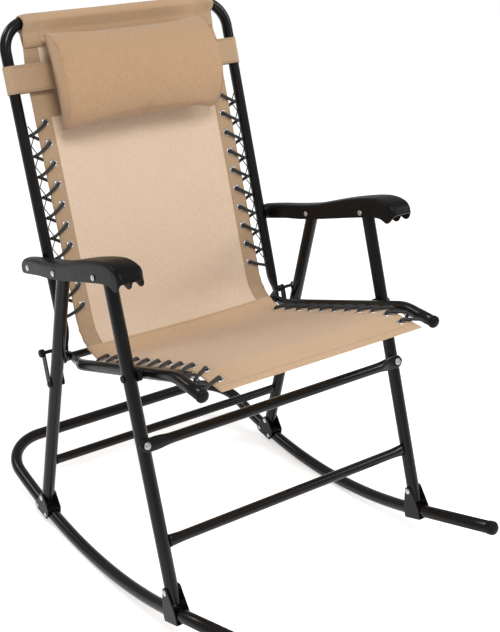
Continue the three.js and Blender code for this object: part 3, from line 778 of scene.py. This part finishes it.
def build_seat_frame():
    press = [(SEAT_X - 0.0054, -0.001, -0.002), (SEAT_X - 0.0054, -0.006, -0.004),
             (SEAT_X - 0.0054, -0.014, -0.008), (SEAT_X - 0.005, -0.026, -0.0125),
             (SEAT_X - 0.0035, -0.04, -0.0158), (SEAT_X - 0.001, -0.054, SEAT_DROP)]
    halves = [(0.0017, 0.007), (0.0017, 0.0092), (0.0018, 0.0102), (0.003, 0.0108), (0.0065, 0.0112),
              (0.0102, 0.011)]
    run = [0.07, 0.15, 0.25, 0.34] + [0.395 + 0.005 * k for k in range(10)] + [0.46, SEAT_TIP]
    line = [(SEAT_X, *seat_point(distance)[:2]) for distance in run]
    sections = halves + [FRAME_ROUND] * len(line)
    tube = sweep("seat_rail", press + line, sections, BLACK, 32)
    stand_pair("seat_rail", tube, "seat", "black_tube", SEAT, "seat_tube")
    y, z, turn = seat_point(SEAT_TIP)
    profile = [(0.0112, -0.0002), (0.012, 0.0005)] + dome(0.012, 0.0035, 0.0072) + [(0.0008, 0.0108)]
    plug = turned("plug", profile, PLASTIC)
    placed = Matrix.Translation((SEAT_X, y, z)) @ Matrix.Rotation(turn, 4, "X")
    plug.data.transform(placed @ Matrix.Rotation(-pi / 2, 4, "Z"))
    stand_pair("seat_end_plug", plug, "seat", "black_plastic", SEAT, "seat_plug")
    rivet = stud("rivet", 0.2495, 0.2581, 0.003, 0.006, 0.0022, STEEL)
    stand_pair("hinge_pin", rivet, "seat", "black_steel", SEAT, "hinge_rivet")


# ---- lacing ----
def back_spot(k, x, lift):
    return (x, -lift, 0.088 + PITCH * k)


def seat_spot(k, x, lift):
    y, z, _ = seat_point(0.067 + PITCH * k, lift)
    return (x, y, z)


def lace_route(spot, count, step):
    """Each front run leaves a grommet for the next hook; the last one ends at the tube."""
    through = [(0, GROMMET_X, -0.0052), (0, GROMMET_X, 0.0052)]
    hook = [(0.2, 0.215, 0.0062), (0.44, 0.232, 0.0048), (0.5, 0.238, 0), (0.56, 0.232, -0.0048),
            (0.8, 0.215, -0.0062)]
    end = [(0.15, 0.215, 0.0062), (0.32, 0.234, 0.0042), (0.38, 0.2425, 0.001), (0.4, 0.246, 0)]
    order = range(count) if step > 0 else range(count - 1, -1, -1)
    route = []
    for k in order:
        turns = through + (end if k == order[-1] else hook)
        route += [spot(k + step * part, x, lift) for part, x, lift in turns]
    return smooth_route(route, 4)


def wire_route(spot, count, tube_x):
    base = tube_x - FRAME_R - 0.0019
    route = []
    tooth = [(0.04, base), (0.4, 0.2322), (0.5, 0.2312), (0.6, 0.2322), (0.96, base)]
    for k in range(count - 1):
        route += [spot(k + part, x, 0) for part, x in tooth]
    return smooth_route(route, 3)


def grommet(spot, k):
    """A pressed eyelet, a rounded metal ring on both faces of the fabric."""
    centre = Vector(spot(k, GROMMET_X, 0))
    normal = (Vector(spot(k, GROMMET_X, 0.01)) - centre).normalized()
    rings, sides = 12, 28
    vertices, faces = [], []
    beside = normal.cross(ACROSS)
    for i in range(sides):
        angle = 2 * pi * i / sides
        out = ACROSS * cos(angle) + beside * sin(angle)
        for j in range(rings):
            around = 2 * pi * j / rings
            radius = 0.0061 + 0.0023 * cos(around)
            vertices.append(centre + out * radius + normal * 0.0024 * sin(around))
    for i in range(sides):
        here, there = i * rings, (i + 1) % sides * rings
        for j in range(rings):
            k = (j + 1) % rings
            faces.append((here + j, there + j, there + k, here + k))
    return build("eyelet", vertices, faces, BOLT)


def build_lacing():
    for body, place, spot, count, tube_x, front in (
        ("back", BACK, back_spot, 10, BACK_X, -1),
        ("seat", SEAT, seat_spot, 11, SEAT_X, 1),
    ):
        lace = sweep("lace", lace_route(spot, count, front), 0.0033, LACE, 12)
        stand_pair(body + "_elastic", lace, body, "lace_cord", place, body + "_lace")
        wire = sweep("wire", wire_route(spot, count, tube_x), 0.0011, STEEL, 8)
        stand_pair(body + "_hook_wire", wire, body, "black_steel", place, body + "_wire")
        eyelets = joined("eyelets", [grommet(spot, k) for k in range(count)])
        stand_pair(body + "_eyelets", eyelets, body, "bolt_steel", place)


# ---- fabric ----
HIP_TOP = 0.0638
SLEEVE_END = 0.591
SLEEVE_X = 0.2155
SEAM_ANGLE = -43
SEAT_START, SEAT_END = 0.0805, 0.5026


def distances(points):
    """How far along its line each point lies."""
    travel = [0.0]
    for before, point in zip(points, points[1:]):
        travel.append(travel[-1] + (point - before).length)
    return travel


def edge_faces(rows, wide):
    """The faces that close a sheet round its edge, from its front layer to its back one."""
    rim = [r * wide for r in range(rows)] + [(rows - 1) * wide + c for c in range(1, wide)]
    rim += [r * wide + wide - 1 for r in range(rows - 2, -1, -1)] + list(range(wide - 2, 0, -1))
    back = rows * wide
    return [(a, b, b + back, a + back) for a, b in zip(rim, rim[1:] + rim[:1])]


def sling_line():
    """Stations down the sling: a point, its face normal and the stretch that it belongs to."""
    stations = []
    for z in np.linspace(0.602, HIP_TOP, 90):
        stations.append((BACK @ Vector((0, 0, z)), BACK.to_3x3() @ FORWARD, "back"))
    for angle in np.linspace(-1, -89, 34):
        part = radians(angle)
        out = Vector((0, cos(part), sin(part)))
        point = SEAT @ (Vector((0, HIP_Y, HIP_Z)) + out * HIP_R)
        stations.append((point, SEAT.to_3x3() @ -out, "mesh" if angle > SEAM_ANGLE else "seat"))
    for distance in np.linspace(SEAT_START, SEAT_END, 74):
        y, z, turn = seat_point(distance)
        normal = Vector((0, -sin(turn), cos(turn)))
        stations.append((SEAT @ Vector((0, y, z)), SEAT.to_3x3() @ normal, "seat"))
    return stations


def pucker(x, travelled, seam):
    """Small gathers along the edges and soft folds that spread from the hip."""
    edge = min(1.0, max(0.0, (abs(x) - 0.15) / 0.07))
    near_hip = exp(-((travelled - seam) / 0.11) ** 2)
    gather = noise.noise(Vector((x * 18, travelled * 95, 3.0))) * (0.0005 + 0.003 * near_hip)
    folds = noise.noise(Vector((x * 7 + travelled * 9, travelled * 14, 8.0))) * 0.0022 * near_hip
    broad = noise.noise(Vector((x * 5, travelled * 5, 1.0))) * 0.0012
    calm = max(0.0, 1 - max(0.0, abs(x) - 0.192) / 0.012) if near_hip < 0.05 else 1.0
    return gather * edge * calm + (folds + broad) * (1 - edge) ** 0.5


def sling_rise(x, travelled, seam, total):
    """How far the cloth stands off its line: its sag between the laces, gathers and folds."""
    to_hem = total - travelled
    slack = max(0.0, 1 - (x / GROMMET_X) ** 2)
    ends = min(1.0, travelled / 0.1) * min(1.0, to_hem / 0.12)
    return pucker(x, travelled, seam) * min(1.0, to_hem / 0.03) - 0.005 * slack * ends


def build_sling():
    stations = sling_line()
    lengths = distances([station[0] for station in stations])
    seam = lengths[next(k for k, s in enumerate(stations) if s[2] == "seat")]
    total = lengths[-1]
    inner = list(np.linspace(-BAND_X, BAND_X, 33))
    columns = [-SLING_X, -0.219, -0.211, -0.203, -0.195] + inner + [0.195, 0.203, 0.211, 0.219, SLING_X]
    wide = len(columns)
    faces, uv, vertices = [], [], []
    for side in (1, -1):
        for (point, normal, _), travelled in zip(stations, lengths):
            to_hem = total - travelled
            for x in columns:
                double = abs(x) > BAND_X - 0.001 or to_hem < 0.021 or travelled < 0.02
                half = 0.0011 if double else 0.0007
                spot = point + normal * (sling_rise(x, travelled, seam, total) + side * half)
                narrow = 0.19 * max(0.0, 1 - travelled / 0.06)
                beyond = max(0.0, abs(x) - BAND_X) * narrow
                vertices.append((x - copysign(beyond, x), spot.y, spot.z))
                uv.append((x, travelled))
    rows = len(stations)
    kinds = []
    for layer in range(2):
        base = layer * rows * wide
        for r in range(rows - 1):
            for c in range(wide - 1):
                a = base + r * wide + c
                quad = (a, a + 1, a + 1 + wide, a + wide)
                faces.append(quad if layer == 0 else quad[::-1])
                middle = abs(columns[c] + columns[c + 1]) / 2 < BAND_X
                # Behind the strap and pillow, the back's middle uses the darker band cloth: partly a sewn
                # reinforcement patch, partly painted shade from the pillow and strap.
                patch_and_shade = 0.055 < lengths[r] < 0.142
                on_back = stations[r][2] != "seat"
                kinds.append((0 if middle and not patch_and_shade else 2) if on_back else 1)
    edge = edge_faces(rows, wide)
    kinds += [1] * len(edge)
    sling = build("sling", vertices, faces + edge, MESH, uv=uv)
    sling.data.materials.append(TAN)
    sling.data.materials.append(BAND)
    sling.data.polygons.foreach_set("material_index", kinds)
    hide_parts("back_sling", "seat_sling", "hip_sling")
    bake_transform(sling)
    build_stitches(stations, lengths, seam, total)


def stitch_mesh(name, seats):
    """Short raised stitches; each seat is a point, its direction and its face normal."""
    vertices, faces = [], []
    for point, ahead, normal in seats:
        across = ahead.cross(normal)
        base = len(vertices)
        for t, wide, high in ((-1, 0.3, 0.1), (-0.5, 1, 1), (0.5, 1, 1), (1, 0.3, 0.1)):
            for u in (-1, 1):
                vertices.append(point + ahead * t * 0.0013 + across * u * wide * 0.00035 - normal * 0.0004)
                vertices.append(point + ahead * t * 0.0013 + across * u * wide * 0.0002
                                + normal * high * 0.00035)
        for ring in range(3):
            a = base + ring * 4
            for j, k in ((0, 1), (1, 3), (3, 2), (2, 0)):
                faces.append((a + j, a + k, a + k + 4, a + j + 4))
        faces.append((base, base + 2, base + 3, base + 1))
        faces.append((base + 12, base + 13, base + 15, base + 14))
    return build(name, vertices, faces, THREAD)


def build_stitches(stations, lengths, seam, total):
    def place(travelled, x):
        k = min(max(int(np.searchsorted(lengths, travelled)), 1), len(stations) - 1)
        t = (travelled - lengths[k - 1]) / (lengths[k] - lengths[k - 1])
        point = stations[k - 1][0].lerp(stations[k][0], t)
        normal = stations[k - 1][1].lerp(stations[k][1], t).normalized()
        spot = point + normal * (sling_rise(x, travelled, seam, total) + 0.001)
        ahead = (stations[k][0] - stations[k - 1][0]).normalized()
        return Vector((x, spot.y, spot.z)), ahead, normal

    seats = [place(travelled, x) for x in (-0.2195, -0.1895, 0.1895, 0.2195)
             for travelled in np.arange(0.03, total - 0.004, STITCH)]
    for travelled in (total - 0.018, total - 0.016, seam + 0.004):
        for x in np.arange(-0.218, 0.219, STITCH):
            if travelled < total - 0.1 and abs(x) > BAND_X:
                continue
            point, _, normal = place(travelled, x)
            seats.append((point, ACROSS, normal))
    stitches = stitch_mesh("sling_stitching", seats)
    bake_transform(stitches)


def build_sleeve():
    """The top hem: the sling goes over the top tube and is sewn to itself below it."""
    line = [(0.0026, z) for z in np.linspace(SLEEVE_END, 0.622, 8)]
    line += arc(0, BACK_TOP, 0.0128, -36, 206, 22)
    line += [(-0.0026, z) for z in np.linspace(0.622, SLEEVE_END, 8)]
    points = [Vector((0, y, z)) for y, z in line]
    travel = distances(points)
    xs = list(np.linspace(-SLEEVE_X, SLEEVE_X, 44))
    rows, wide = len(points), len(xs)
    vertices, uv, faces, kinds = [], [], [], []
    for side in (1, -1):
        for k, point in enumerate(points):
            ahead = (points[min(k + 1, rows - 1)] - points[max(k - 1, 0)]).normalized()
            normal = Vector((0, ahead.z, -ahead.y))
            for x in xs:
                double = abs(x) > 0.18
                wave = noise.noise(Vector((x * 9, travel[k] * 30, 5))) * 0.0007
                spot = point + normal * (side * (0.0008 if double else 0.0006) + abs(wave))
                past = max(0.0, abs(x) - (BACK_X - BACK_CORNER))
                drop = BACK_CORNER - sqrt(BACK_CORNER ** 2 - past ** 2)
                high = min(1.0, max(0.0, (point.z - 0.6) / 0.03))
                spread = 1 + 1.2 * past / 0.02 * (1 - abs(point.z - 0.625) / 0.035)
                vertices.append((x, spot.y * max(1.0, spread), spot.z - drop * high))
                uv.append((x, travel[k]))
    for layer in range(2):
        for r in range(rows - 1):
            for c in range(wide - 1):
                a = layer * rows * wide + r * wide + c
                faces.append((a, a + 1, a + 1 + wide, a + wide))
                kinds.append(0 if abs(xs[c] + xs[c + 1]) / 2 > 0.18 else 1)
    edge = edge_faces(rows, wide)
    kinds += [0] * len(edge)
    sleeve = build("top_sleeve", vertices, faces + edge, BAND, uv=uv)
    sleeve.data.materials.append(SLEEVE)
    sleeve.data.polygons.foreach_set("material_index", kinds)
    stand(sleeve, "back", "tan_fabric", BACK, "back_sling")
    seats = [(Vector((x, -0.0036, z)), ACROSS, FORWARD)
             for z in (SLEEVE_END + 0.003, SLEEVE_END + 0.0055) for x in np.arange(-0.199, 0.2, STITCH)]
    seats += [(Vector((x, -0.0036, z)), UP, FORWARD)
              for x in (-0.1805, 0.1805) for z in np.arange(SLEEVE_END + 0.008, 0.622, STITCH)]
    stand(stitch_mesh("sleeve_stitching", seats), "back", "tan_fabric", BACK)


# ---- headrest ----
PILLOW_HALF = 0.18
PILLOW_SHIFT = -0.01
PILLOW_MID = 0.519
PILLOW_HIGH = 0.101
PILLOW_DEEP = 0.079
PILLOW_BACK = -0.0146


def pillow_outline(shrink, count=26):
    """The pillow's end panel: flat against the sling and round in front."""
    points = []
    for k in range(count + 1):
        angle = pi / 2 + pi * k / count
        y = (PILLOW_DEEP - 2 * shrink) * cos(angle) + PILLOW_BACK - shrink
        points.append((y, PILLOW_MID + (PILLOW_HIGH - shrink) * sin(angle)))
    return points


def build_pillow():
    outline = pillow_outline(0.005)
    body = plate("pillow", outline, -PILLOW_HALF + 0.004, PILLOW_HALF - 0.004, PILLOW_TAN, 0)
    fabric_swell(body, 0.005, 4.0, 0.01)
    for vertex in body.data.vertices:
        x, y, z = vertex.co
        high = (z - PILLOW_MID) / PILLOW_HIGH
        side = abs(x) / PILLOW_HALF
        wave = noise.noise(Vector((x * 22, high * 3, 2.0))) * 0.0016 * max(0.0, side - 0.55)
        y = min(y + wave, PILLOW_BACK + 0.0115)
        vertex.co = (x, y, z)
    edge = ring_on([tuple(v.co) for v in body.data.vertices], outline)
    place = BACK @ Matrix.Translation((PILLOW_SHIFT, 0, 0))
    stand(body, "headrest", "tan_fabric", place, "headrest_pillow")
    for name, sign in (("left", 1), ("right", -1)):
        path = [(sign * x, y, z) for x, y, z in edge]
        seam = sweep("pillow_seam_" + name, path, 0.0011, PILLOW_TAN, 8)
        stand(seam, "headrest", "tan_fabric", place)


def ring_on(points, outline):
    """The corner line of the pillow's end panel, found on its swollen surface."""
    cloud = np.array(points)
    centre = np.array([PILLOW_BACK - 0.3 * PILLOW_DEEP, PILLOW_MID])
    ring = []
    for y, z in outline:
        direction = np.array([y, z]) - centre
        direction /= np.linalg.norm(direction)
        relative = cloud[:, 1:] - centre
        ahead = relative @ direction
        aside = np.abs(relative @ np.array([-direction[1], direction[0]]))
        score = np.where(aside < 0.005, ahead + 1.2 * cloud[:, 0], -1.0)
        best = int(np.argmax(score))
        ring.append((cloud[best][0] - 0.0002, *(centre + direction * ahead[best])))
    for _ in range(2):
        inner = [tuple((np.array(a) + 2 * np.array(b) + np.array(c)) / 4)
                 for a, b, c in zip(ring, ring[1:], ring[2:])]
        ring = [ring[0], *inner, ring[-1]]
    return ring


def fabric_swell(piece, voxel, pressure, cap):
    """Remeshes a padded piece and lets cloth pressure crown it, no further than cap."""
    modified(piece, "REMESH", mode="VOXEL", voxel_size=voxel)
    before = np.array([v.co for v in piece.data.vertices])
    cloth = piece.modifiers.new("Cloth", "CLOTH")
    cloth.settings.use_pressure = True
    cloth.settings.uniform_pressure_force = pressure
    cloth.settings.effector_weights.gravity = 0
    cloth.point_cache.frame_start = 1
    cloth.point_cache.frame_end = 20
    for step in range(1, 21):
        bpy.context.scene.frame_set(step)
    settle(piece)
    after = np.array([v.co for v in piece.data.vertices])
    move = after - before
    size = np.linalg.norm(move, axis=1, keepdims=True)
    move *= np.minimum(1.0, cap / np.maximum(size, 1e-9))
    for vertex, spot in zip(piece.data.vertices, before + move):
        vertex.co = spot
    bpy.context.scene.frame_set(1)
    modified(piece, "SUBSURF", levels=1)
    shade_smooth(piece)


def build_strap():
    """The strap that goes round both back tubes and holds the pillow by its ends."""
    radius, low, high = 0.01255, 0.508, 0.561
    line = []
    half = arc(BACK_X, 0, radius, -90, 90, 18) + [(x, radius) for x in np.linspace(0.23, -0.23, 24)]
    for sign in (1, -1):
        line += [(sign * x, sign * y) for x, y in half]
    count = len(line)
    heights = np.linspace(low, high, 9)
    vertices, uv, faces = [], [], []
    for side in (1, -1):
        length = 0.0
        for k, (x, y) in enumerate(line):
            ahead = Vector(line[(k + 1) % count]) - Vector(line[k - 1])
            out = Vector((ahead.y, -ahead.x)).normalized()
            length += (Vector(line[k]) - Vector(line[k - 1])).length
            for z in heights:
                wave = noise.noise(Vector((x * 16, y * 40, z * 22))) * 0.0004
                offset = side * 0.0006 + (wave if abs(x) < BACK_X else 0)
                vertices.append((x + out.x * offset, y + out.y * offset, z))
                uv.append((z, length))
    rows = len(heights)
    back = count * rows
    for start in (0, back):
        for k in range(count):
            for j in range(rows - 1):
                a, b = start + k * rows + j, start + (k + 1) % count * rows + j
                faces.append((a, b, b + 1, a + 1))
    for k in range(count):
        for j in (0, rows - 1):
            a, b = k * rows + j, (k + 1) % count * rows + j
            faces.append((a, b, b + back, a + back))
    strap = build("pillow_strap", vertices, faces, BAND, uv=uv)
    stand(strap, "headrest", "tan_fabric", BACK, "headrest_strap")
    seats = [(Vector((sign * x, -radius - 0.0008, z)), ACROSS, FORWARD)
             for z in (low + 0.004, high - 0.004) for sign in (1, -1)
             for x in np.arange(0.178, 0.25, STITCH)]
    stand(stitch_mesh("strap_stitching", seats), "headrest", "tan_fabric", BACK)


build_stage()
build_base()
build_clamps()
build_front_legs()
build_rear_legs()
build_links()
build_armrests()
build_back_frame()
build_seat_frame()
build_lacing()
build_sling()
build_sleeve()
build_pillow()
build_strap()
